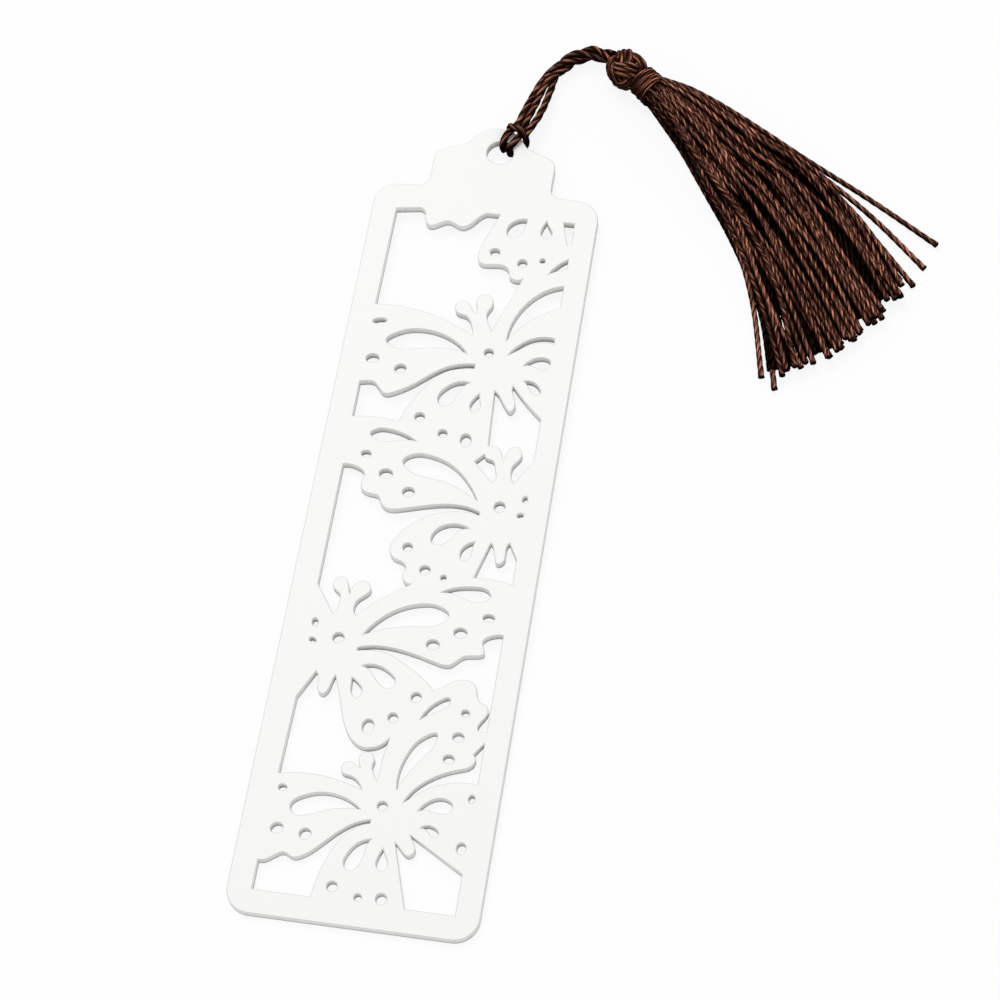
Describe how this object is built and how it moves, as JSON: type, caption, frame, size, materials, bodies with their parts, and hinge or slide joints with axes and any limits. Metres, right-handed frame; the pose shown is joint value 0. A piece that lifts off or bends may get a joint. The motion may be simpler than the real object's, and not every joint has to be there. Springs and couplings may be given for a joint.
{
  "type": "bookmark",
  "caption": "Flat pierced bookmark plate with a domed hanging tab, a corded hitch through its hole, a ball knot and a long fringed tassel.",
  "frame": {"origin": "middle of the plate's flat back face", "axes": "+Y along the plate towards the hanging tab, +X across it, +Z out of the front face"},
  "size_m": [0.0985, 0.17, 0.007],
  "materials": {
    "plate_white": "matte white, edges a little soft",
    "cord_brown": "twisted satin cord, dark brown",
    "thread_brown": "thin binding thread, dark brown"
  },
  "bodies": {
    "plate": {"plate": "plate_white"},
    "cord": {"cord_loop": "cord_brown", "cord_tail": "cord_brown"},
    "knot": {"ball_knot": "cord_brown"},
    "tassel": {"neck_core": "cord_brown", "neck_wrap": "thread_brown", "fringe_strand_01": "cord_brown", "fringe_strand_02": "cord_brown", "fringe_strand_03": "cord_brown", "fringe_strand_04": "cord_brown", "fringe_strand_05": "cord_brown", "fringe_strand_06": "cord_brown", "fringe_strand_07": "cord_brown", "fringe_strand_08": "cord_brown", "fringe_strand_09": "cord_brown", "fringe_strand_10": "cord_brown", "fringe_strand_11": "cord_brown", "fringe_strand_12": "cord_brown", "fringe_strand_13": "cord_brown", "fringe_strand_14": "cord_brown", "fringe_strand_15": "cord_brown", "fringe_strand_16": "cord_brown", "fringe_strand_17": "cord_brown", "fringe_strand_18": "cord_brown", "fringe_strand_19": "cord_brown", "fringe_strand_20": "cord_brown", "fringe_strand_21": "cord_brown", "fringe_strand_22": "cord_brown", "fringe_strand_23": "cord_brown", "fringe_strand_24": "cord_brown", "fringe_strand_25": "cord_brown", "fringe_strand_26": "cord_brown", "fringe_strand_27": "cord_brown", "fringe_strand_28": "cord_brown", "fringe_strand_29": "cord_brown", "fringe_strand_30": "cord_brown"}
  },
  "joints": [
    {"name": "cord_swing", "type": "hinge", "parent": "plate", "child": "cord", "pos_m": [0.0007, 0.0698, 0], "axis": [0, 0, 1], "range_deg": [-12, 12]},
    {"name": "tassel_turn", "type": "hinge", "parent": "cord", "child": "knot", "pos_m": [0.0206, 0.08995, 0.00202], "axis": [0, 0, 1], "range_deg": [-15, 75]},
    {"name": "tassel_lift", "type": "hinge", "parent": "knot", "child": "tassel", "pos_m": [0.0206, 0.08995, 0.00202], "axis": [-0.6691, -0.7431, 0], "range_deg": [-90, 90]}
  ]
}
